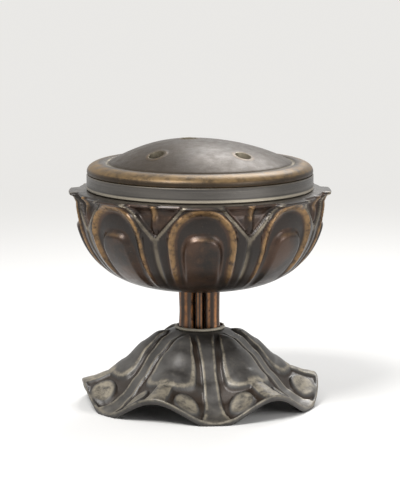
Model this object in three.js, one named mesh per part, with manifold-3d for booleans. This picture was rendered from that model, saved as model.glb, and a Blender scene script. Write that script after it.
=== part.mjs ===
// Lotus-shaped incense burner: turned, cast and riveted pieces, each its own closed solid.
// Millimetres, +Z up, the front faces -Y. Azimuths run from the front towards +X.
import * as THREE from 'three';
import { mergeVertices } from 'three/addons/utils/BufferGeometryUtils.js';
import Module from 'manifold-3d';

const wasm = await Module();
wasm.setup();

const RAD = Math.PI / 180;

// Named clearances
const SEAT_GAP = 0.2;
const SLIDE_GAP = 0.6;
const RIVET_GAP = 0.3;

// Foot: an upturned lotus leaf with six waves
const WAVES = 6;
const WAVE_TURN = 8 * RAD;
const FOOT_R = 45.2;
const FOOT_TOP_Z = 28.3;
const FOOT_WALL = 2.4;
const WAVE_RISE = 8.4;
const FOOT_CUT = 1.0;
const CHANNEL_DEPTH = 0.75;

// Stem: five stalks around a tie rod
const STEM_HEIGHT = 15.9;
const STALK_R = 3.15;
const REED_R = 1.6;
const ROD_R = 1.95;
const STEM_R = 8.5;

// Bowl: eight front petals over eight back petals
const PETALS = 8;
const PETAL_TURN = 1.2 * RAD;
const BOWL_R = 47.66;
const BOWL_DEPTH = 32.17;
const BELLY_POWER = 2.007;
const FLANK_POWER = 3.172;
const BOWL_WALL = 4.6;
const RIM_RISE = 5.4;
const TIP_FLARE = 2.1;
const VEE_RISE = 12.4;
const VEE_DEPTH = 1.6;
const PETAL_DEPTH = 2.0;
const TIP_HALF = 7.1;
const ARCH_HALF = 12.6;
const ARCH_RISE = 14.0;
const LAPPET_HALF = 8.7;
const LAPPET_RISE = 11.5;
const LAPPET_DROP = 10.5;

// Mouth collar and lid
const COLLAR_SETBACK = 4.76;
const COLLAR_WALL = 3.7;
const COLLAR_HEIGHT = 5.6;
const SHOULDER_WIDTH = 7.6;
const SHOULDER_HEIGHT = 4.4;
const DOME_RISE = 8.5;
const LID_WALL = 2.0;
const DOME_SHIFT = -3.5;
const HOLE_D = 6.0;
const HOLE_RING_R = 24.0;
const HOLE_AZIMUTHS = [42, -42, 138, -138];
const MID_HOLE = [-4.2, 1.9];

// Heights and radii that follow from them
const STALK_LOW_Z = FOOT_TOP_Z + SEAT_GAP;
const STEM_TOP_Z = FOOT_TOP_Z + STEM_HEIGHT;
const BOWL_LOW_Z = STEM_TOP_Z + SEAT_GAP;
const BELLY_Z = BOWL_LOW_Z + BOWL_DEPTH;
const BOWL_TOP_Z = BELLY_Z + RIM_RISE;
const COLLAR_LOW_Z = BOWL_TOP_Z + SEAT_GAP;
const COLLAR_TOP_Z = COLLAR_LOW_Z + COLLAR_HEIGHT;
const COLLAR_R = BOWL_R - COLLAR_SETBACK;
const COLLAR_BORE = COLLAR_R - COLLAR_WALL;
const TIP_R = BOWL_R + TIP_FLARE;
const GROOVE_R = COLLAR_R - SHOULDER_WIDTH;

function smooth(low, high, x) {
  const t = Math.min(1, Math.max(0, (x - low) / (high - low)));
  return t * t * (3 - 2 * t);
}

function along(stations, heights, r) {
  if (r <= stations[0]) return heights[0];
  for (let i = 1; i < stations.length; i += 1) {
    if (r <= stations[i]) {
      const t = (r - stations[i - 1]) / (stations[i] - stations[i - 1]);
      return heights[i - 1] + t * (heights[i] - heights[i - 1]);
    }
  }
  return heights[heights.length - 1];
}

// Turn a profile of [radius, height] pairs about Z; the profile closes on the axis or on itself.
function turned(profile, segments, bend) {
  const points = profile.map(([r, z]) => new THREE.Vector2(r, z));
  const lathe = new THREE.LatheGeometry(points, segments);
  lathe.rotateX(Math.PI / 2);
  if (bend) {
    const place = lathe.getAttribute('position');
    const rows = profile.length;
    for (let i = 0; i < place.count; i += 1) {
      const turn = (Math.floor(i / rows) % segments) * (2 * Math.PI / segments);
      const [r, z, x] = bend(turn, i % rows, profile[i % rows]);
      place.setXYZ(i, r * Math.sin(turn) + (x || 0), -r * Math.cos(turn), z);
    }
  }
  return solid(lathe);
}

function solid(geometry) {
  const bare = new THREE.BufferGeometry();
  bare.setAttribute('position', geometry.getAttribute('position').clone());
  if (geometry.index) bare.setIndex(geometry.index.clone());
  const merged = mergeVertices(bare, 1e-3);
  const index = Array.from(merged.index.array);
  const kept = [];
  for (let i = 0; i < index.length; i += 3) {
    const [a, b, c] = index.slice(i, i + 3);
    if (a !== b && b !== c && c !== a) kept.push(a, b, c);
  }
  const mesh = new wasm.Mesh({
    numProp: 3,
    vertProperties: Float32Array.from(merged.getAttribute('position').array),
    triVerts: Uint32Array.from(kept),
  });
  const body = new wasm.Manifold(mesh);
  if (body.volume() <= 0) throw new Error('a solid is open or faces inwards');
  return body;
}

function drum(radius, low, high, x, y, segments) {
  const geometry = new THREE.CylinderGeometry(radius, radius, high - low, segments);
  geometry.rotateX(Math.PI / 2);
  geometry.translate(x, y, (low + high) / 2);
  return solid(geometry);
}

const group = new THREE.Group();
group.name = 'lotus_incense_burner';

function add(name, body, colour, roughness) {
  const mesh = body.getMesh();
  const geometry = new THREE.BufferGeometry();
  geometry.setAttribute('position', new THREE.BufferAttribute(Float32Array.from(mesh.vertProperties), 3));
  geometry.setIndex(Array.from(mesh.triVerts));
  geometry.computeVertexNormals();
  const material = new THREE.MeshStandardMaterial({ color: colour, metalness: 0.9, roughness });
  material.name = name;
  const node = new THREE.Mesh(geometry, material);
  node.name = name;
  group.add(node);
}

// Foot: heights of the leaf's top skin along a trough and along a crest
const LEAF_SPAN = FOOT_R - (STEM_R + 1);
const LEAF_STOPS = [0, 0.18, 0.35, 0.54, 0.715, 0.88, 1];
const TROUGH_FALL = [0, 0.1, 0.288, 0.58, 0.815, 0.956, 1];
const CREST_FALL = [0, 0.08, 0.294, 0.636, 0.84, 0.947, 1];
const TROUGH_LOW = FOOT_WALL - FOOT_CUT;
const CREST_LOW = TROUGH_LOW + WAVE_RISE;

function leafHeight(turn, r) {
  const out = (r - STEM_R - 1) / LEAF_SPAN;
  const wave = (1 - Math.cos(WAVES * (turn - WAVE_TURN))) / 2;
  const trough = FOOT_TOP_Z - (FOOT_TOP_Z - TROUGH_LOW) * along(LEAF_STOPS, TROUGH_FALL, out);
  const crest = FOOT_TOP_Z - (FOOT_TOP_Z - CREST_LOW) * along(LEAF_STOPS, CREST_FALL, out);
  return trough + wave * (crest - trough);
}

// Raised ovals on the crests, flat ribs in the troughs, small panels at the rim, channels between
function leafRelief(turn, r) {
  const out = (r - STEM_R - 1) / LEAF_SPAN;
  const pitch = 2 * Math.PI / WAVES;
  const off = turn - WAVE_TURN;
  const fromTrough = Math.abs(off - pitch * Math.round(off / pitch));
  const fromCrest = (pitch / 2 - fromTrough) / RAD;
  const ribHalf = along([0, 0.45, 0.75, 1], [3.8, 2.6, 3.2, 5.4], out);
  const rib = 1 - smooth(ribHalf - 0.8, ribHalf + 0.6, fromTrough * r);
  const ovalHalf = along([0.1, 0.35, 0.62, 0.88], [2, 13.5, 19, 15.5], out);
  const ovalDown = Math.max(0, (out - 0.68) / 0.25, (0.3 - out) / 0.19);
  const reach = ((fromCrest / ovalHalf) ** 2.6 + ovalDown ** 2.6) ** (1 / 2.6);
  const oval = (1 - smooth(0.82, 1.02, reach)) * (1.2 + 0.5 * Math.max(0, 1 - reach ** 2));
  const small = Math.hypot((fromTrough / RAD - 12.8) / 3.9, (out - 0.845) / 0.13);
  const panel = 1 - smooth(0.7, 1.05, small);
  const raised = Math.max(rib, oval, panel) - 1;
  return CHANNEL_DEPTH * raised * smooth(0.03, 0.14, out) * (1 - smooth(0.94, 1, out));
}

const LEAF_ROW_COUNT = 16;
const LEAF_ROWS = [ROD_R + RIVET_GAP];
for (let i = 0; i <= LEAF_ROW_COUNT; i += 1) LEAF_ROWS.push(STEM_R + 1 + LEAF_SPAN * i / LEAF_ROW_COUNT);
const UNDER_ROWS = [ROD_R + RIVET_GAP];
for (const stop of LEAF_STOPS) UNDER_ROWS.push(STEM_R + 1 + (LEAF_SPAN - 0.5) * stop);
const leafProfile = UNDER_ROWS.map((r) => [r, -FOOT_WALL]);
for (const r of [...LEAF_ROWS].reverse()) leafProfile.push([r, 0]);
leafProfile.push(leafProfile[0]);
const leaf = turned(leafProfile, 120, (turn, row, [r, drop]) => {
  const top = leafHeight(turn, r);
  return drop < 0 ? [r, top + drop] : [r, top + leafRelief(turn, r)];
});
const under = solid(new THREE.BoxGeometry(4 * FOOT_R, 4 * FOOT_R, 20).translate(0, 0, -10));
add('leaf_foot', leaf.subtract(under), 0x4b463f, 0.55);

// Stem
const STALKS = [
  ['stalk_1', STALK_R, -68], ['stalk_2', REED_R, -5], ['stalk_3', STALK_R, 58],
  ['stalk_4', STALK_R, 134], ['stalk_5', STALK_R, -142],
];
for (const [name, radius, azimuth] of STALKS) {
  const out = name === 'stalk_2' ? ROD_R + RIVET_GAP + radius + 0.05 : STEM_R - radius;
  const x = out * Math.sin(azimuth * RAD);
  const y = -out * Math.cos(azimuth * RAD);
  add(name, drum(radius, STALK_LOW_Z, STEM_TOP_Z, x, y, 32), 0x5a4030, 0.45);
}
add('stem_seat_ring', turned([
  [STEM_R + 0.3, STALK_LOW_Z], [STEM_R + 1.5, STALK_LOW_Z], [STEM_R + 1.5, STALK_LOW_Z + 0.7],
  [STEM_R + 1.0, STALK_LOW_Z + 1.4], [STEM_R + 0.3, STALK_LOW_Z + 1.4], [STEM_R + 0.3, STALK_LOW_Z],
], 64), 0x8c8674, 0.8);

const bowlInside = BOWL_LOW_Z + 3.0;
const roveLow = FOOT_TOP_Z - FOOT_WALL - SEAT_GAP;
const rove = (low, high) => [
  [ROD_R + RIVET_GAP, low], [6, low], [6, high], [ROD_R + RIVET_GAP, high], [ROD_R + RIVET_GAP, low],
];
add('foot_rove', turned(rove(roveLow - 1.2, roveLow), 48), 0x4a4036, 0.6);
add('bowl_rove', turned(rove(bowlInside + SEAT_GAP, bowlInside + SEAT_GAP + 1.6), 48), 0x4a4036, 0.6);
const headLow = roveLow - 1.2 - SEAT_GAP;
const headHigh = bowlInside + 2 * SEAT_GAP + 1.6;
add('core_tang', turned([
  [0, headLow - 1.6], [2.6, headLow - 1.4], [3.4, headLow], [ROD_R, headLow], [ROD_R, headHigh],
  [3.4, headHigh], [2.6, headHigh + 1.4], [0, headHigh + 1.6],
], 32), 0x4f463c, 0.55);

// Bowl: petal relief, in millimetres added to the radius of the outer skin
function petalRelief(turn, z) {
  const pitch = 2 * Math.PI / PETALS;
  const off = turn - PETAL_TURN;
  const side = Math.abs(off - pitch * Math.round(off / pitch)) * BOWL_R;
  const half = pitch / 2 * BOWL_R;
  const veeFoot = BOWL_TOP_Z - VEE_RISE;
  const climb = Math.min(1, Math.max(0, (z - veeFoot) / VEE_RISE));
  const outline = half - (half - TIP_HALF) * climb;
  const archUp = Math.max(0, z - (BOWL_TOP_Z - 2 - ARCH_RISE)) / ARCH_RISE;
  const arch = ((side / ARCH_HALF) ** 2.6 + archUp ** 2.6) ** (1 / 2.6);
  const lappetUp = Math.max(0, z - (BOWL_TOP_Z - LAPPET_DROP - LAPPET_RISE)) / LAPPET_RISE;
  const lappet = ((side / LAPPET_HALF) ** 3 + lappetUp ** 3) ** (1 / 3);
  const dome = PETAL_DEPTH * (1 - smooth(0.7, 1.04, lappet));
  const roll = 0.9 * PETAL_DEPTH * Math.exp(-(((arch - 1) / 0.12) ** 2));
  const margin = 0.45 * PETAL_DEPTH * smooth(1.1, 1.2, arch);
  const inVee = smooth(-0.9, 1.1, side - outline);
  const vee = VEE_DEPTH * inVee;
  const tip = PETAL_DEPTH * smooth(BOWL_TOP_Z - 2.6, BOWL_TOP_Z - 1.3, z) * (1 - inVee);
  const ridge = 0.8 * VEE_DEPTH * (1 - smooth(0, 2.4, half - side)) * smooth(veeFoot, veeFoot + 4, z);
  const seam = 0.5 * VEE_DEPTH * (1 - smooth(0, 2.0, half - side)) * (1 - smooth(veeFoot - 2, veeFoot + 1, z));
  const full = Math.max(dome + roll + margin, tip) - PETAL_DEPTH - vee + ridge - seam;
  const low = BOWL_LOW_Z + 0.05 * BOWL_DEPTH;
  return full * smooth(low, low + 0.38 * BOWL_DEPTH, z);
}

const bowlProfile = [[ROD_R + RIVET_GAP, BOWL_LOW_Z], [STEM_R + 0.4, BOWL_LOW_Z]];
const outerRows = [0.975, 0.94, 0.88, 0.8, 0.72, 0.64, 0.57, 0.5, 0.44, 0.38, 0.32, 0.27, 0.22, 0.17, 0.12, 0.07, 0.02];
for (const t of outerRows) {
  const r = BOWL_R * (1 - t ** BELLY_POWER) ** (1 / FLANK_POWER);
  bowlProfile.push([r, BELLY_Z - BOWL_DEPTH * t]);
}
bowlProfile.push([BOWL_R - 0.2, BELLY_Z + 1.4], [BOWL_R + 0.3, BELLY_Z + 2.6], [TIP_R - 1.0, BELLY_Z + 3.6]);
bowlProfile.push([TIP_R, BELLY_Z + 4.4], [TIP_R - 0.3, BELLY_Z + 4.9]);
const skinRows = bowlProfile.length;
bowlProfile.push([COLLAR_R + 1, BOWL_TOP_Z], [COLLAR_BORE + 0.2, BOWL_TOP_Z]);
const innerRows = [0.1, 0.3, 0.5, 0.68, 0.82, 0.92];
for (const t of innerRows) {
  const r = (BOWL_R - BOWL_WALL) * (1 - t ** BELLY_POWER) ** (1 / FLANK_POWER);
  bowlProfile.push([r, BELLY_Z - (BOWL_DEPTH - BOWL_WALL) * t]);
}
bowlProfile.push([10, bowlInside], [ROD_R + RIVET_GAP, bowlInside], bowlProfile[0]);
const bowl = turned(bowlProfile, 128, (turn, row, [r, z]) => {
  const carved = row > 1 && row < skinRows;
  return [carved ? r + petalRelief(turn, z) : r, z];
});
add('petal_bowl', bowl, 0x2e2620, 0.4);

add('mouth_collar', turned([
  [COLLAR_BORE, COLLAR_LOW_Z], [COLLAR_R, COLLAR_LOW_Z], [COLLAR_R, COLLAR_TOP_Z - 0.3],
  [COLLAR_R - 0.3, COLLAR_TOP_Z], [COLLAR_BORE, COLLAR_TOP_Z], [COLLAR_BORE, COLLAR_LOW_Z],
], 64), 0x6f6b66, 0.4);

// Lid: rolled shoulder, sunk line, dome with its crown left of the middle
const lidLow = COLLAR_TOP_Z + SEAT_GAP;
const lidBore = COLLAR_BORE - SLIDE_GAP + SEAT_GAP;
const domeLow = lidLow + SHOULDER_HEIGHT;
const lidApex = domeLow + DOME_RISE;
const domeAt = (r, drop) => [r, domeLow - drop + DOME_RISE * (1 - (r / (GROOVE_R - 1)) ** 1.9)];
const domeStops = [1, 0.85, 0.67, 0.5, 0.33, 0.16, 0];
const lidProfile = [
  [lidBore, lidLow], [COLLAR_R - 0.5, lidLow], [COLLAR_R - 0.1, lidLow + 0.6], [COLLAR_R - 0.4, lidLow + 2.0],
  [COLLAR_R - 2.2, lidLow + 3.6], [COLLAR_R - 5, lidLow + SHOULDER_HEIGHT - 0.1],
  [GROOVE_R + 0.9, lidLow + SHOULDER_HEIGHT - 0.1], [GROOVE_R, lidLow + SHOULDER_HEIGHT - 0.7],
  ...domeStops.map((stop) => domeAt((GROOVE_R - 1) * stop, 0)),
  ...[0, 0.33, 0.67, 0.93].map((stop) => domeAt((GROOVE_R - 1) * stop, LID_WALL)),
  [lidBore, lidLow + LID_WALL], [lidBore, lidLow],
];
let lid = turned(lidProfile, 64, (turn, row, [r, z]) => {
  const crown = DOME_SHIFT * (1 - smooth(0, GROOVE_R - 1, r));
  return [r, z, crown];
});
const holes = HOLE_AZIMUTHS.map((a) => [HOLE_RING_R * Math.sin(a * RAD), -HOLE_RING_R * Math.cos(a * RAD)]);
holes.push(MID_HOLE);
for (const [x, y] of holes) lid = lid.subtract(drum(HOLE_D / 2, lidLow, lidApex + 5, x, y, 32));
add('lid_cover', lid, 0x5c4c38, 0.45);

const ringR = lidBore - SEAT_GAP;
add('lid_spigot_ring', turned([
  [ringR - 1.8, COLLAR_LOW_Z + 2.4], [ringR, COLLAR_LOW_Z + 2.4], [ringR, lidLow + 1.6],
  [ringR - 1.8, lidLow + 1.6], [ringR - 1.8, COLLAR_LOW_Z + 2.4],
], 64), 0x5c4c38, 0.5);

export default group;
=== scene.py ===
"""Lotus-shaped incense burner: the dressed model of a lidded bronze burner, as a Blender add-on."""
import math

import bpy
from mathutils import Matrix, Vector


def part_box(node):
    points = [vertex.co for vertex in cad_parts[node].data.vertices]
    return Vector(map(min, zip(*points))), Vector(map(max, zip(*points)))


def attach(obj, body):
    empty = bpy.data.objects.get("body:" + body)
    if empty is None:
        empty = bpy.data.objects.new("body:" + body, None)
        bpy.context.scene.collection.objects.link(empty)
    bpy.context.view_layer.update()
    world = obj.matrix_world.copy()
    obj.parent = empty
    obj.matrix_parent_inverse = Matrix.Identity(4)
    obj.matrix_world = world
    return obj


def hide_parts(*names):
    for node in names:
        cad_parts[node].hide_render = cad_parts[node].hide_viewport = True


bl_info = {
    "name": "Lotus Incense Burner",
    "version": (1, 0, 0),
    "blender": (4, 5, 0),
    "location": "View3D > Sidebar > Burner",
    "description": "Builds a lidded lotus incense burner in patinated bronze",
    "category": "Add Mesh",
}

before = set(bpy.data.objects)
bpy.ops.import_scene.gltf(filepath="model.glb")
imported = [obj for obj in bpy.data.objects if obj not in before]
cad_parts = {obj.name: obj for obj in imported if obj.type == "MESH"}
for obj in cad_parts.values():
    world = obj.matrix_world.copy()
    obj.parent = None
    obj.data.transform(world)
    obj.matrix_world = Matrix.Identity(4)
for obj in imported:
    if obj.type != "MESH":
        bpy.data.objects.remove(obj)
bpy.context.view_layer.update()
MM = 0.001
BOWL_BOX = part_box("petal_bowl")
FOOT_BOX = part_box("leaf_foot")
LID_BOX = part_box("lid_cover")
COLLAR_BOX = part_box("mouth_collar")
SEAT_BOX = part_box("stem_seat_ring")

# Shared by the pieces on the rod, in millimetres
ROD_HOLE = 2.25
ROVE_R = 6.0


def smooth(low, high, x):
    t = min(1.0, max(0.0, (x - low) / (high - low)))
    return t * t * (3 - 2 * t)


def along(stations, heights, r):
    if r <= stations[0]:
        return heights[0]
    for i in range(1, len(stations)):
        if r <= stations[i]:
            t = smooth(stations[i - 1], stations[i], r) * 0.35
            t += 0.65 * (r - stations[i - 1]) / (stations[i] - stations[i - 1])
            return heights[i - 1] + t * (heights[i] - heights[i - 1])
    return heights[-1]


class BurnerSizes(bpy.types.PropertyGroup):
    belly_radius: bpy.props.FloatProperty(
        name="Belly radius", description="Widest radius of the bowl", default=47.66 * MM, unit="LENGTH")
    bowl_depth: bpy.props.FloatProperty(
        name="Bowl depth", description="Height of the widest place above the stem", default=32.17 * MM,
        unit="LENGTH")
    bowl_wall: bpy.props.FloatProperty(
        name="Bowl wall", description="Thickness of the cast bowl", default=4.6 * MM, unit="LENGTH")
    foot_wall: bpy.props.FloatProperty(
        name="Leaf thickness", description="Thickness of the cast leaf", default=2.4 * MM, unit="LENGTH")
    groove_radius: bpy.props.FloatProperty(
        name="Lid line radius", description="Radius of the sunk line on the lid", default=35.3 * MM,
        unit="LENGTH")
    hole_width: bpy.props.FloatProperty(
        name="Smoke hole", description="Width of each smoke hole", default=6.0 * MM, unit="LENGTH")
    crown_shift: bpy.props.FloatProperty(
        name="Crown shift", description="How far the lid's crown lies to the side", default=-3.5 * MM,
        unit="LENGTH")


class BurnerFinish(bpy.types.PropertyGroup):
    bronze: bpy.props.FloatVectorProperty(
        name="Dark bronze", description="Patina of the petals", subtype="COLOR", size=3,
        default=(0.013, 0.0095, 0.0075))
    # Metal showing on raised edges, and the colour that paints the highlights on the petals.
    wear_and_highlight: bpy.props.FloatVectorProperty(
        name="Worn edge", description="Rubbed metal on raised edges", subtype="COLOR", size=3,
        default=(0.30, 0.175, 0.07))
    dust: bpy.props.FloatVectorProperty(
        name="Dust", description="Pale deposit in the corners", subtype="COLOR", size=3,
        default=(0.26, 0.22, 0.16))


# Finishes

def bronze_finish(name, dark, mid, wear_and_highlight, dust, rough=0.42, metal=0.75, dusty=0.25, rub_and_highlight=0.6, grain=380.0,
                  flecked=0.12, coat=0.2, shine=0.4, brushed=False):
    """Patinated bronze: a mottled skin, high places in the wear colour with painted highlights, pale dust in
    the sunk ones, and painted shade where the relief tone is low.
    """
    material = bpy.data.materials.new(name)
    material.use_nodes = True
    tree = material.node_tree
    tree.nodes.clear()

    def node(kind, **values):
        made = tree.nodes.new(kind)
        for key, value in values.items():
            setattr(made, key, value)
        return made

    def mix(fraction, first, second):
        made = node("ShaderNodeMix", data_type="RGBA")
        if isinstance(fraction, float):
            made.inputs[0].default_value = fraction
        else:
            tree.links.new(fraction, made.inputs[0])
        for socket, value in ((made.inputs[6], first), (made.inputs[7], second)):
            if isinstance(value, tuple):
                socket.default_value = (*value, 1.0)
            else:
                tree.links.new(value, socket)
        return made.outputs[2]

    def ramp(source, low, high):
        made = node("ShaderNodeMapRange", clamp=True, interpolation_type="SMOOTHSTEP")
        tree.links.new(source, made.inputs["Value"])
        made.inputs["From Min"].default_value = low
        made.inputs["From Max"].default_value = high
        return made.outputs["Result"]

    def times(first, second):
        made = node("ShaderNodeMath", operation="MULTIPLY", use_clamp=True)
        for socket, value in ((made.inputs[0], first), (made.inputs[1], second)):
            if isinstance(value, float):
                socket.default_value = value
            else:
                tree.links.new(value, socket)
        return made.outputs[0]

    place = node("ShaderNodeTexCoord")
    stretch = node("ShaderNodeMapping")
    if brushed:
        stretch.inputs["Scale"].default_value = (0.12, 0.12, 5.0)
    tree.links.new(place.outputs["Object"], stretch.inputs["Vector"])

    def noise(scale, detail=6.0, roughness=0.6):
        made = node("ShaderNodeTexNoise")
        made.inputs["Scale"].default_value = scale
        made.inputs["Detail"].default_value = detail
        made.inputs["Roughness"].default_value = roughness
        tree.links.new(stretch.outputs["Vector"], made.inputs["Vector"])
        return made.outputs["Fac"]

    relief = node("ShaderNodeAttribute", attribute_name="relief").outputs["Fac"]
    broad = noise(70.0)
    fine = noise(grain, 8.0, 0.65)
    speck = noise(1500.0, 3.0, 0.7)
    skin = mix(ramp(broad, 0.38, 0.64), dark, mid)
    skin = mix(times(ramp(fine, 0.5, 0.75), flecked), skin, wear_and_highlight)
    # Painted shade: where the relief tone falls below about 0.57 the skin is darkened towards the dark
    # colour. This darkens the grooves and channels, and also the whole lid dome, whose tone is 0.45.
    skin = mix(times(ramp(relief, 0.57, 0.47), 0.85), skin, dark)
    # Wear colour where the relief tone is high: real wear on raised edges, and painted highlights where a
    # piece gives its lappet brows, rolls, ridge tips, lid shoulder or stalk stripes a high tone.
    high = times(ramp(relief, 0.62, 0.98), ramp(fine, 0.28, 0.62))
    skin = mix(times(high, rub_and_highlight), skin, wear_and_highlight)
    low = times(ramp(relief, 0.42, 0.12), ramp(broad, 0.3, 0.6))
    skin = mix(times(low, dusty), skin, dust)
    skin = mix(times(ramp(speck, 0.62, 0.8), dusty * 0.5), skin, dust)

    shader = node("ShaderNodeBsdfPrincipled")
    tree.links.new(skin, shader.inputs["Base Color"])
    shader.inputs["Metallic"].default_value = metal
    shader.inputs["Specular IOR Level"].default_value = shine
    shader.inputs["Coat Weight"].default_value = coat
    shader.inputs["Coat Roughness"].default_value = 0.26
    gloss = node("ShaderNodeMapRange", clamp=True)
    tree.links.new(fine, gloss.inputs["Value"])
    gloss.inputs["From Min"].default_value = 0.25
    gloss.inputs["From Max"].default_value = 0.75
    gloss.inputs["To Min"].default_value = rough - 0.1
    gloss.inputs["To Max"].default_value = rough + 0.16
    tree.links.new(gloss.outputs["Result"], shader.inputs["Roughness"])
    bump = node("ShaderNodeBump")
    bump.inputs["Strength"].default_value = 0.35
    bump.inputs["Distance"].default_value = 0.25 * MM
    tree.links.new(fine, bump.inputs["Height"])
    tree.links.new(bump.outputs["Normal"], shader.inputs["Normal"])
    output = node("ShaderNodeOutputMaterial")
    tree.links.new(shader.outputs[0], output.inputs[0])
    return material


# Turning and shaping

def turn_profile(name, profile, steps):
    """Draw a closed or axis-ended outline in the front plane and spin it about the upright axis."""
    bpy.ops.object.select_all(action="DESELECT")
    mesh = bpy.data.meshes.new(name)
    points = [(r, 0.0, z) for r, z in profile]
    mesh.from_pydata(points, [(i, i + 1) for i in range(len(points) - 1)], [])
    piece = bpy.data.objects.new(name, mesh)
    bpy.context.collection.objects.link(piece)
    piece.select_set(True)
    bpy.context.view_layer.objects.active = piece
    bpy.ops.object.mode_set(mode="EDIT")
    bpy.ops.mesh.select_all(action="SELECT")
    bpy.ops.mesh.spin(steps=steps, angle=2 * math.pi, center=(0, 0, 0), axis=(0, 0, 1))
    bpy.ops.mesh.select_all(action="SELECT")
    bpy.ops.mesh.remove_doubles(threshold=0.004 * MM)
    bpy.ops.mesh.normals_make_consistent(inside=False)
    bpy.ops.object.mode_set(mode="OBJECT")
    return piece


def shape(piece, move):
    """Move each point by move(azimuth, radius, height), and keep the relief that it returns."""
    mesh = piece.data
    tone = mesh.attributes.new("relief", "FLOAT", "POINT")
    for point in mesh.vertices:
        x, y, z = point.co
        r = math.hypot(x, y)
        azimuth = math.atan2(x, -y)
        new_r, new_z, shift, height = move(azimuth, r, z)
        point.co = (new_r * math.sin(azimuth) + shift, -new_r * math.cos(azimuth), new_z)
        tone.data[point.index].value = height
    mesh.update()


def finish_piece(piece, material, body, slot, *nodes, angle=40):
    bpy.ops.object.select_all(action="DESELECT")
    piece.select_set(True)
    bpy.context.view_layer.objects.active = piece
    bpy.ops.object.shade_smooth_by_angle(angle=math.radians(angle))
    piece.data.materials.clear()
    piece.data.materials.append(material)
    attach(piece, body)
    if nodes:
        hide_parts(*nodes)


def dress_node(node, material):
    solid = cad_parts[node]
    solid = solid if hasattr(solid, "data") else bpy.data.objects[node]
    solid.data.materials.clear()
    solid.data.materials.append(material)


# Bowl

PETALS = 8
PETAL_TURN = math.radians(1.2)
PETAL_DEPTH = 2.1
VEE_DEPTH = 1.7
VEE_RISE = 12.4
TIP_HALF = 7.1
ARCH_HALF = 12.6
ARCH_RISE = 14.0
ARCH_POWER = 2.1
LAPPET_HALF = 8.7
LAPPET_RISE = 11.5
LAPPET_DROP = 10.5
BELLY_POWER = 2.007
FLANK_POWER = 3.172
STEM_SEAT_R = 8.9
BOWL_FLOOR = 3.0


def petal_relief(azimuth, z, belly, floor, top):
    """Height of the petal carving in millimetres, and its tone: 0 dusty, 0.5 plain, 1 rubbed. Low tones also
    darken the creases with painted shade, and high tones paint highlights on the lappets' brows, the rolls
    and the ridge tips.
    """
    pitch = 2 * math.pi / PETALS
    off = azimuth - PETAL_TURN
    side = abs(off - pitch * round(off / pitch)) * belly
    half = pitch / 2 * belly
    vee_foot = top - VEE_RISE
    climb = min(1.0, max(0.0, (z - vee_foot) / VEE_RISE))
    outline = half - (half - TIP_HALF) * climb
    arch_up = max(0.0, z - (top - 2 - ARCH_RISE)) / ARCH_RISE
    arch = ((side / ARCH_HALF) ** ARCH_POWER + arch_up ** ARCH_POWER) ** (1 / ARCH_POWER)
    lappet_up = max(0.0, z - (top - LAPPET_DROP - LAPPET_RISE)) / LAPPET_RISE
    lappet = ((side / LAPPET_HALF) ** 3 + lappet_up ** 3) ** (1 / 3)
    dome = 1 - smooth(0.72, 1.0, lappet)
    roll = math.exp(-((arch - 1.0) / 0.1) ** 2)
    margin = smooth(1.1, 1.16, arch)
    in_vee = smooth(-0.55, 0.65, side - outline)
    ridge = (1 - smooth(0.0, 2.0, half - side)) * smooth(vee_foot, vee_foot + 4, z)
    seam = (1 - smooth(0.1, 1.5, half - side)) * (1 - smooth(vee_foot - 2, vee_foot + 1, z))
    tip = smooth(top - 2.6, top - 1.3, z) * (1 - in_vee)
    body = max(dome + 0.92 * roll + 0.45 * margin, tip)
    low = floor + 0.05 * (top - floor)
    fade = smooth(low, low + 12.0, z)
    height = (PETAL_DEPTH * (body - 1) + VEE_DEPTH * (0.8 * ridge - in_vee - 0.5 * seam)) * fade
    # Painted highlight: the top corners of each lappet get a high tone, so they take the golden wear colour.
    lappet_highlight = smooth(0.66, 0.8, lappet) * (1 - smooth(0.8, 0.97, lappet)) * smooth(top - 15, top - 11, z)
    inset = outline - side
    strip = smooth(0.0, 0.5, inset) * (1 - smooth(1.5, 2.4, inset)) * smooth(vee_foot - 2, vee_foot + 0.5, z)
    # Wear and painted highlight: a band along each petal's roll gets a high tone, so it takes the golden wear
    # colour.
    roll_wear_and_highlight = smooth(0.8, 0.97, arch) * (1 - smooth(1.02, 1.08, arch))
    # Painted shade: the crease between lappet and roll, and the margin outside the roll, get a lower tone
    # that darkens them.
    groove = smooth(0.97, 1.08, lappet) * (1 - smooth(0.74, 0.86, arch)) + margin * (1 - in_vee)
    tone = 0.58 - 0.12 * groove + 0.42 * roll_wear_and_highlight + 0.26 * lappet_highlight
    # Painted highlight: the top of each back petal's ridge is raised in tone so it takes the golden wear
    # colour.
    tone += 0.4 * ridge * smooth(top - 8, top - 4, z)
    tone = tone * (1 - 0.8 * strip) - 0.4 * seam
    return height, min(1.0, max(0.0, tone * fade + 0.52 * (1 - fade)))


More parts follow.
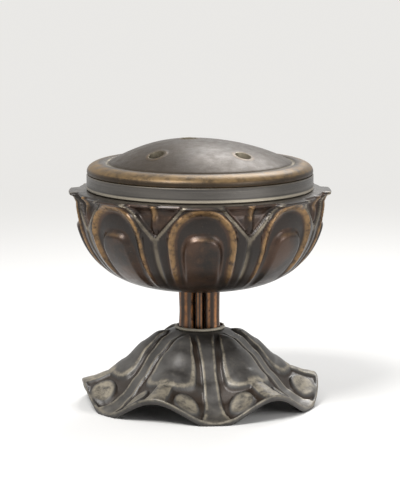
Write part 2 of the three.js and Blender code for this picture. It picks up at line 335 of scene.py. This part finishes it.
class BURNER_OT_bowl(bpy.types.Operator):
    """Cast bowl with eight front petals over eight back petals."""
    bl_idname = "burner.bowl"
    bl_label = "Petal bowl"

    def execute(self, context):
        sizes, finish = context.scene.burner_sizes, context.scene.burner_finish
        belly = sizes.belly_radius / MM
        floor, top = BOWL_BOX[0][2] / MM, BOWL_BOX[1][2] / MM
        depth = sizes.bowl_depth / MM
        belly_z = floor + depth
        wall = sizes.bowl_wall / MM

        def flank(t, inset=0.0):
            reach = (belly - inset) * (1 - t ** BELLY_POWER) ** (1 / FLANK_POWER)
            return reach, belly_z - (depth - inset) * t

        outer = [(ROD_HOLE, floor), (ROVE_R, floor), (STEM_SEAT_R, floor)]
        outer += [flank(0.45 + 0.53 * math.sin(math.pi / 2 * (1 - i / 20))) for i in range(0, 20)]
        outer += [flank(0.45 * (1 - i / 34)) for i in range(0, 35)]
        flare = ((0.0, 0.0), (1.4, -0.2), (2.6, 0.3), (3.6, 1.1), (4.4, 2.1), (4.9, 1.8))
        rises, reaches = [rise for rise, _ in flare], [reach for _, reach in flare]
        outer += [(belly + along(rises, reaches, 0.35 * i), belly_z + 0.35 * i) for i in range(1, 15)]
        lip = [(belly - 1.2, belly_z + 5.15), (45.0, top - 0.12), (43.6, top), (39.4, top)]
        inner = [flank(math.sin(math.pi / 2 * i / 15) * 0.97, wall) for i in range(1, 15)]
        inner += [(10.0, floor + BOWL_FLOOR), (ROD_HOLE, floor + BOWL_FLOOR), (ROD_HOLE, floor)]
        profile = [(r * MM, z * MM) for r, z in outer + lip + inner]
        piece = turn_profile("petal_bowl_cast", profile, 448)

        def carve(azimuth, r, z):
            radius, height = r / MM, z / MM
            if height <= belly_z:
                t = min(1.0, (belly_z - height) / depth)
                on_skin = radius > flank(t)[0] - 1.0
            else:
                on_skin = radius > belly - 1.0
            if not on_skin or height <= floor + 0.01:
                return r, z, 0.0, 0.35
            rise, tone = petal_relief(azimuth, height, belly, floor, top)
            return (radius + rise) * MM, z, 0.0, tone

        shape(piece, carve)
        dark, wear_and_highlight, dust = tuple(finish.bronze), tuple(finish.wear_and_highlight), tuple(finish.dust)
        skin = bronze_finish("petal_bronze", dark, (0.05, 0.025, 0.014), wear_and_highlight, dust, rough=0.34, metal=0.5,
                             dusty=0.6, rub_and_highlight=0.75, flecked=0.06)
        finish_piece(piece, skin, "stand", "bowl_bronze", "petal_bowl", angle=50)
        return {"FINISHED"}


# Foot

WAVES = 6
WAVE_TURN = math.radians(8)
LEAF_NECK = 9.5
LEAF_STOPS = (0, 0.18, 0.35, 0.54, 0.715, 0.88, 1)
TROUGH_FALL = (0, 0.1, 0.288, 0.58, 0.815, 0.956, 1)
CREST_FALL = (0, 0.08, 0.294, 0.636, 0.84, 0.947, 1)
TROUGH_LOW = 1.4
CREST_LOW = 9.8
CHANNEL_DEPTH = 1.1
RIB_STOPS = (0, 0.45, 0.75, 1)
RIB_HALVES = (3.8, 2.9, 3.4, 5.6)
OVAL_STOPS = (0.06, 0.14, 0.25, 0.45, 0.6, 0.72)
OVAL_HALVES = (3, 8.5, 14, 19.5, 20, 14)
OVAL_POWER = 2.6
PANEL_OFF = 15.0
PANEL_OUT = 0.84
UPPER_MARK = 1000.0


def leaf_height(azimuth, out, top):
    wave = (1 - math.cos(WAVES * (azimuth - WAVE_TURN))) / 2
    trough = top - (top - TROUGH_LOW) * along(LEAF_STOPS, TROUGH_FALL, out)
    crest = top - (top - CREST_LOW) * along(LEAF_STOPS, CREST_FALL, out)
    return trough + wave * (crest - trough)


def leaf_relief(azimuth, out, r):
    """Raised ovals on the crests, flat ribs in the troughs, small panels at the rim, channels between."""
    pitch = 360.0 / WAVES
    off = math.degrees(azimuth - WAVE_TURN)
    from_trough = abs(off - pitch * round(off / pitch))
    from_crest = pitch / 2 - from_trough
    rib_half = along(RIB_STOPS, RIB_HALVES, out)
    rib_in = math.radians(from_trough) * r - rib_half
    rib = 1 - smooth(-0.5, 0.3, rib_in)
    oval_half = along(OVAL_STOPS, OVAL_HALVES, out)
    oval_down = max(0.0, (out - 0.52) / 0.2, (0.17 - out) / 0.11)
    reach = ((from_crest / oval_half) ** OVAL_POWER + oval_down ** OVAL_POWER) ** (1 / OVAL_POWER)
    oval = (1 - smooth(0.92, 1.02, reach)) * (1.2 + 0.5 * max(0.0, 1 - reach ** 2))
    small = math.hypot((from_trough - PANEL_OFF) / 7.4, (out - PANEL_OUT) / 0.15)
    panel = 1 - smooth(0.84, 1.0, small)
    apron = smooth(0.6, 0.68, out) * (1 - smooth(4.6, 5.8, from_crest))
    raised = max(rib, oval, panel, apron)
    fade = smooth(0.03, 0.14, out) * (1 - smooth(0.94, 1, out))
    edge = math.exp(-((reach - 0.85) / 0.09) ** 2) + math.exp(-((rib_in + 0.8) / 0.5) ** 2)
    edge += 0.8 * (1 - smooth(0.55, 0.9, small)) + 0.8 * apron + 0.3 * smooth(0.68, 0.85, out)
    tone = min(1.0, raised) * (0.58 + 0.4 * min(1.0, edge))
    tone = tone * fade + (1 - fade) * (0.85 if out > 0.5 else 0.62)
    return CHANNEL_DEPTH * (raised - 1) * fade, min(1.0, tone)


class BURNER_OT_foot(bpy.types.Operator):
    """Cast foot: an upturned lotus leaf with six waves, ground flat where it stands."""
    bl_idname = "burner.foot"
    bl_label = "Leaf foot"

    def execute(self, context):
        sizes = context.scene.burner_sizes
        wall = sizes.foot_wall / MM
        rim = (FOOT_BOX[1][0] - FOOT_BOX[0][0]) / 2 / MM
        top, span = FOOT_BOX[1][2] / MM, rim - LEAF_NECK
        top_rows = [ROD_HOLE, ROVE_R] + [LEAF_NECK + (span - 0.5) * i / 74 for i in range(0, 75)]
        top_rows += [rim - 0.15, rim]
        under_rows = [ROD_HOLE, ROVE_R] + [LEAF_NECK + (span - 0.5) * i / 22 for i in range(0, 23)]
        profile = [(r * MM, 0.0) for r in under_rows]
        profile += [(r * MM, UPPER_MARK * MM) for r in reversed(top_rows)]
        profile.append(profile[0])
        piece = turn_profile("leaf_foot_cast", profile, 432)

        def drape(azimuth, r, z):
            radius = r / MM
            out = (radius - LEAF_NECK) / span
            height = leaf_height(azimuth, out, top)
            if z / MM < UPPER_MARK / 2:
                return r, max(0.0, height - wall) * MM, 0.0, 0.3
            rise, tone = leaf_relief(azimuth, out, radius)
            roll = 0.5 * smooth(rim - 0.3, rim, radius)
            return r, (height + rise - roll) * MM, 0.0, tone

        shape(piece, drape)
        # The fourth colour here is dark brown, not pale dust: with dusty at 0.95 it darkens the channels and
        # other low places of the leaf.
        skin = bronze_finish("leaf_bronze", (0.032, 0.029, 0.026), (0.075, 0.07, 0.064), (0.27, 0.235, 0.175),
                             (0.022, 0.013, 0.007), rough=0.44, metal=0.35, dusty=0.95, rub_and_highlight=0.8)
        finish_piece(piece, skin, "stand", "foot_bronze", "leaf_foot", angle=50)
        return {"FINISHED"}


# Stem

BEAD_INSET = 0.45 * MM
BEAD_SHARE = 0.75

class BURNER_OT_stem(bpy.types.Operator):
    """Five stalks bundled round the riveted rod, with the soldered ring at their foot."""
    bl_idname = "burner.stem"
    bl_label = "Stalk stem"

    def execute(self, context):
        skin = bronze_finish("stalk_bronze", (0.028, 0.019, 0.014), (0.085, 0.045, 0.027), (0.45, 0.19, 0.06),
                             (0.25, 0.22, 0.17), rough=0.32, metal=0.6, dusty=0.15, rub_and_highlight=0.6)
        for number in range(1, 6):
            node = f"stalk_{number}"
            low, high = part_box(node)
            radius = (high[0] - low[0]) / 2
            centre = ((high[0] + low[0]) / 2, (high[1] + low[1]) / 2)
            tall = high[2] - low[2]
            profile = [(0.0, low[2]), (radius * 0.9, low[2])]
            for i in range(0, 15):
                t = i / 14
                waist = 1 - 0.07 * math.sin(math.pi * t) + 0.015 * math.sin(9 * t + number)
                profile.append((radius * waist, low[2] + tall * (0.02 + 0.96 * t)))
            profile += [(radius * 0.9, high[2]), (0.0, high[2])]
            piece = turn_profile(f"{node}_cast", profile, 56)

            def rib(azimuth, r, z, node_number=number):
                # Painted highlight: the tone rises to 0.95 in seven shallow flutes round each stalk, giving
                # bright copper stripes with darker ones between.
                groove = 0.5 + 0.5 * math.cos(7 * azimuth + node_number)
                return r * (1 - 0.018 * groove), z, 0.0, 0.35 + 0.6 * groove

            shape(piece, rib)
            for point in piece.data.vertices:
                point.co.x += centre[0]
                point.co.y += centre[1]
            finish_piece(piece, skin, "stand", "stem_bronze", node)
        low, high = SEAT_BOX
        outer, foot = (high[0] - low[0]) / 2 - BEAD_INSET, low[2]
        bead = (high[2] - low[2]) / 2 * BEAD_SHARE
        profile = [(outer - bead * 1.7, foot)]
        for i in range(0, 9):
            turn = math.radians(-90 + 22.5 * i)
            reach = outer - bead * 0.8 + bead * 0.8 * math.cos(turn)
            profile.append((reach, foot + bead + bead * math.sin(turn)))
        profile += [(outer - bead * 1.7, foot + 2 * bead), (outer - bead * 1.7, foot)]
        ring = turn_profile("stem_solder_bead", profile, 160)

        def lump(azimuth, r, z):
            swell = 0.12 * math.sin(7 * azimuth) + 0.1 * math.sin(13 * azimuth + 1)
            return r + swell * MM * smooth(outer - bead * 1.6, outer, r), z, 0.0, 0.6

        shape(ring, lump)
        solder = bronze_finish("solder_grey", (0.24, 0.215, 0.17), (0.36, 0.33, 0.26), (0.36, 0.33, 0.26),
                               (0.38, 0.35, 0.28), rough=0.6, metal=0.3, dusty=0.6, rub_and_highlight=0.2)
        finish_piece(ring, solder, "stand", "solder", "stem_seat_ring")
        for node in ("core_tang", "bowl_rove", "foot_rove"):
            dress_node(node, skin)
        return {"FINISHED"}


# Mouth and lid

COLLAR_BORE = 39.2 * MM
COLLAR_EDGE = 0.3 * MM
LID_BORE = 38.8
LID_WALL = 2.0
SHOULDER_HEIGHT = 4.4

class BURNER_OT_collar(bpy.types.Operator):
    """Turned collar on the bowl's rim, with level brush marks."""
    bl_idname = "burner.collar"
    bl_label = "Mouth collar"

    def execute(self, context):
        low, high = COLLAR_BOX
        radius, bore, edge = (high[0] - low[0]) / 2, COLLAR_BORE, COLLAR_EDGE
        profile = [(bore, low[2]), (radius - edge, low[2]), (radius, low[2] + edge)]
        profile += [(radius, low[2] + (high[2] - low[2]) * i / 8) for i in range(1, 8)]
        profile += [(radius, high[2] - edge), (radius - edge, high[2]), (bore, high[2]), (bore, low[2])]
        piece = turn_profile("mouth_collar_turned", profile, 256)

        def tone(azimuth, r, z):
            edge_tone = smooth(high[2] - 2 * edge, high[2], z)
            foot_tone = 1 - smooth(low[2] + 3 * edge, low[2] + 6 * edge, z)
            return r, z, 0.0, 0.6 + 0.35 * edge_tone - 0.55 * foot_tone

        shape(piece, tone)
        skin = bronze_finish("collar_bronze", (0.045, 0.041, 0.037), (0.09, 0.082, 0.073), (0.2, 0.165, 0.12),
                             (0.36, 0.32, 0.25), rough=0.4, metal=0.45, dusty=1.0, rub_and_highlight=0.5, grain=900.0,
                             brushed=True)
        finish_piece(piece, skin, "stand", "collar_bronze", "mouth_collar", angle=30)
        return {"FINISHED"}


HOLE_RING = 24.0
DOME_POWER = 2.1
HOLE_AZIMUTHS = (42, -42, 138, -138)
CROWN_HOLE = (-4.2, 1.9)


class BURNER_OT_lid(bpy.types.Operator):
    """Domed lid with a rolled shoulder, a sunk line and smoke holes; it lifts off."""
    bl_idname = "burner.lid"
    bl_label = "Smoke lid"

    def execute(self, context):
        sizes = context.scene.burner_sizes
        groove, shift = sizes.groove_radius / MM, sizes.crown_shift / MM
        radius = (LID_BOX[1][0] - LID_BOX[0][0]) / 2 / MM
        low, top = LID_BOX[0][2] / MM, LID_BOX[1][2] / MM
        bore, line_z, wall = LID_BORE, low + SHOULDER_HEIGHT, LID_WALL
        rise = top - line_z

        def dome(r, drop=0.0):
            return r, line_z - drop + rise * (1 - (r / (groove - 1)) ** DOME_POWER)

        outer = [(bore, low), (radius - 0.5, low), (radius - 0.12, low + 0.3), (radius, low + 0.8)]
        for i in range(1, 13):
            turn = math.radians(7.5 * i)
            outer.append((radius - 5.4 + 5.4 * math.cos(turn), low + 0.9 + 3.4 * math.sin(turn)))
        outer += [(groove + 1.2, low + 4.22), (groove + 0.7, low + 4.1), (groove + 0.4, low + 3.8)]
        outer += [(groove, low + 3.65), (groove - 0.4, low + 3.8), (groove - 0.7, low + 4.15)]
        skin_rows = [groove - 1 - (groove - 1) * i / 44 for i in range(0, 44)] + [0.0]
        outer += [dome(r) for r in skin_rows]
        inner = [dome(r, wall) for r in (0.0, 4.0, 8.0, 12.0, 16.0, 20.0, 24.0, 28.0, 32.0)]
        inner += [(bore, low + 2.0), (bore, low)]
        piece = turn_profile("lid_cover_cast", [(r * MM, z * MM) for r, z in outer + inner], 256)
        holes = [(HOLE_RING * math.sin(math.radians(a)), -HOLE_RING * math.cos(math.radians(a)))
                 for a in HOLE_AZIMUTHS] + [CROWN_HOLE]

        def crown(azimuth, r, z):
            radius_mm, height = r / MM, z / MM
            side = shift * (1 - smooth(0.0, groove - 1, radius_mm))
            x, y = radius_mm * math.sin(azimuth) + side, -radius_mm * math.cos(azimuth)
            upper = height > dome(min(radius_mm, groove - 1), wall / 2)[1] and radius_mm < groove - 0.9
            lip = 0.0
            if upper:
                near = min(math.hypot(x - hx, y - hy) for hx, hy in holes)
                lip = 0.22 * math.exp(-((near - 3.5) / 0.45) ** 2)
            sunk = math.exp(-((radius_mm - groove) / 0.5) ** 2)
            # Painted highlight: the lid's rolled edge gets a high tone all round, so it takes the golden wear
            # colour.
            shoulder = smooth(groove + 1.5, groove + 4, radius_mm)
            shoulder *= 1 - smooth(radius - 0.4, radius, radius_mm)
            tone = 0.45 + 0.45 * shoulder + 1.6 * lip - 0.45 * sunk
            return r, z + min(lip, 0.22) * MM, side * MM, min(1.0, max(0.0, tone))

        shape(piece, crown)
        bpy.ops.object.select_all(action="DESELECT")
        cutters = []
        for x, y in holes:
            bpy.ops.mesh.primitive_cylinder_add(vertices=48, radius=sizes.hole_width / 2, depth=30 * MM,
                                                location=(x * MM, y * MM, (low + 8) * MM))
            cutters.append(bpy.context.object)
        bpy.ops.object.select_all(action="DESELECT")
        for cutter in cutters:
            cutter.select_set(True)
        bpy.context.view_layer.objects.active = cutters[0]
        bpy.ops.object.join()
        cutter = bpy.context.object
        bpy.ops.object.select_all(action="DESELECT")
        piece.select_set(True)
        bpy.context.view_layer.objects.active = piece
        drill = piece.modifiers.new("smoke_holes", "BOOLEAN")
        drill.operation, drill.object, drill.solver = "DIFFERENCE", cutter, "EXACT"
        bpy.ops.object.modifier_apply(modifier=drill.name)
        bpy.data.objects.remove(cutter)
        skin = bronze_finish("lid_bronze", (0.026, 0.018, 0.011), (0.065, 0.042, 0.022), (0.26, 0.165, 0.07),
                             (0.34, 0.3, 0.22), rough=0.4, metal=0.45, dusty=0.7, rub_and_highlight=0.5, grain=300.0,
                             coat=0.05, shine=0.25)
        finish_piece(piece, skin, "lid", "lid_bronze", "lid_cover", angle=35)
        dress_node("lid_spigot_ring", skin)
        return {"FINISHED"}


# Stage

VIEW_PITCH = math.radians(9.3)
VIEW_DISTANCE = 1.0
VIEW_CENTRE = 57.6 * MM
VIEW_LENS = 188.0
PAPER = (0.72, 0.71, 0.69)
BACKDROP = (0.82, 0.81, 0.79)
PAPER_NEAR = 0.12
PAPER_FAR = 0.6
AIR = (0.8, 0.82, 0.86)
AIR_STRENGTH = 0.45
LAMPS = (("key", (-0.25, -0.35, 0.6), 0.28, 5.5), ("fill", (0.5, -0.45, 0.25), 0.4, 2.6),
         ("crest", (0.15, 0.45, 0.6), 0.35, 4.0))
LAMP_AIM = Vector((0, 0, 0.06))


def background_rays(tree):
    """1 on the rays that show the background: to the camera, in a reflection or through glass."""
    path = tree.nodes.new("ShaderNodeLightPath")
    seen = path.outputs["Is Camera Ray"]
    for kind in ("Is Glossy Ray", "Is Transmission Ray"):
        larger = tree.nodes.new("ShaderNodeMath")
        larger.operation = "MAXIMUM"
        tree.links.new(seen, larger.inputs[0])
        tree.links.new(path.outputs[kind], larger.inputs[1])
        seen = larger.outputs[0]
    return seen


def paper_floor():
    """Pale paper that keeps the burner's shadow and runs out into the backdrop."""
    paper = bpy.data.materials.new("pale_paper")
    paper.use_nodes = True
    tree = paper.node_tree
    shader = tree.nodes["Principled BSDF"]
    shader.inputs["Base Color"].default_value = (*PAPER, 1)
    shader.inputs["Roughness"].default_value = 0.9
    place = tree.nodes.new("ShaderNodeTexCoord")
    away = tree.nodes.new("ShaderNodeVectorMath")
    away.operation = "LENGTH"
    tree.links.new(place.outputs["Object"], away.inputs[0])
    far = tree.nodes.new("ShaderNodeMapRange")
    far.interpolation_type = "SMOOTHSTEP"
    far.inputs["From Min"].default_value = PAPER_NEAR
    far.inputs["From Max"].default_value = PAPER_FAR
    tree.links.new(away.outputs["Value"], far.inputs["Value"])
    share = tree.nodes.new("ShaderNodeMath")
    share.operation = "MULTIPLY"
    tree.links.new(far.outputs["Result"], share.inputs[0])
    tree.links.new(background_rays(tree), share.inputs[1])
    backdrop = tree.nodes.new("ShaderNodeEmission")
    backdrop.inputs["Color"].default_value = (*BACKDROP, 1)
    blend = tree.nodes.new("ShaderNodeMixShader")
    tree.links.new(share.outputs[0], blend.inputs[0])
    tree.links.new(shader.outputs[0], blend.inputs[1])
    tree.links.new(backdrop.outputs[0], blend.inputs[2])
    tree.links.new(blend.outputs[0], tree.nodes["Material Output"].inputs["Surface"])
    return paper


class BURNER_OT_stage(bpy.types.Operator):
    """Pale floor, soft studio lamps and the camera at the photographed angle."""
    bl_idname = "burner.stage"
    bl_label = "Studio"

    def execute(self, context):
        scene = context.scene
        bpy.ops.object.select_all(action="DESELECT")
        bpy.ops.mesh.primitive_plane_add(size=6.0, location=(0, 0, 0))
        floor = bpy.context.object
        floor.name = "studio_floor"
        floor.data.materials.append(paper_floor())

        camera = bpy.data.objects.new("burner_camera", bpy.data.cameras.new("burner_camera"))
        scene.collection.objects.link(camera)
        camera.location = (0, -VIEW_DISTANCE * math.cos(VIEW_PITCH),
                           VIEW_CENTRE + VIEW_DISTANCE * math.sin(VIEW_PITCH))
        aim = Vector((0, 0, VIEW_CENTRE)) - camera.location
        camera.rotation_euler = aim.to_track_quat("-Z", "Y").to_euler()
        camera.data.lens = VIEW_LENS
        camera.data.sensor_width = 36.0
        camera.data.clip_start = 0.01
        scene.camera = camera

        for name, spot, size, power in LAMPS:
            lamp = bpy.data.lights.new(name, "AREA")
            lamp.size, lamp.energy = size, power
            stand = bpy.data.objects.new(name, lamp)
            scene.collection.objects.link(stand)
            stand.location = spot
            stand.rotation_euler = (LAMP_AIM - Vector(spot)).to_track_quat("-Z", "Y").to_euler()

        world = bpy.data.worlds.new("studio_air")
        scene.world = world
        world.use_nodes = True
        tree = world.node_tree
        tree.nodes.clear()
        air, backdrop = tree.nodes.new("ShaderNodeBackground"), tree.nodes.new("ShaderNodeBackground")
        air.inputs["Color"].default_value = (*AIR, 1)
        air.inputs["Strength"].default_value = AIR_STRENGTH
        backdrop.inputs["Color"].default_value = (*BACKDROP, 1)
        blend = tree.nodes.new("ShaderNodeMixShader")
        tree.links.new(background_rays(tree), blend.inputs[0])
        tree.links.new(air.outputs[0], blend.inputs[1])
        tree.links.new(backdrop.outputs[0], blend.inputs[2])
        output = tree.nodes.new("ShaderNodeOutputWorld")
        tree.links.new(blend.outputs[0], output.inputs[0])
        scene.view_settings.view_transform = "Standard"
        return {"FINISHED"}


class BURNER_PT_panel(bpy.types.Panel):
    """Lists the burner's pieces."""
    bl_idname = "BURNER_PT_panel"
    bl_label = "Incense burner"
    bl_space_type = "VIEW_3D"
    bl_region_type = "UI"
    bl_category = "Burner"

    def draw(self, context):
        for operator in PIECES:
            self.layout.operator(operator.bl_idname)


PIECES = (BURNER_OT_stage, BURNER_OT_foot, BURNER_OT_stem, BURNER_OT_bowl, BURNER_OT_collar, BURNER_OT_lid)
CLASSES = (BurnerSizes, BurnerFinish, *PIECES, BURNER_PT_panel)


def register():
    for kind in CLASSES:
        bpy.utils.register_class(kind)
    bpy.types.Scene.burner_sizes = bpy.props.PointerProperty(type=BurnerSizes)
    bpy.types.Scene.burner_finish = bpy.props.PointerProperty(type=BurnerFinish)


def unregister():
    del bpy.types.Scene.burner_finish
    del bpy.types.Scene.burner_sizes
    for kind in reversed(CLASSES):
        bpy.utils.unregister_class(kind)


def main():
    register()
    bpy.ops.burner.stage()
    bpy.ops.burner.foot()
    bpy.ops.burner.stem()
    bpy.ops.burner.bowl()
    bpy.ops.burner.collar()
    bpy.ops.burner.lid()


if __name__ == "__main__":
    main()
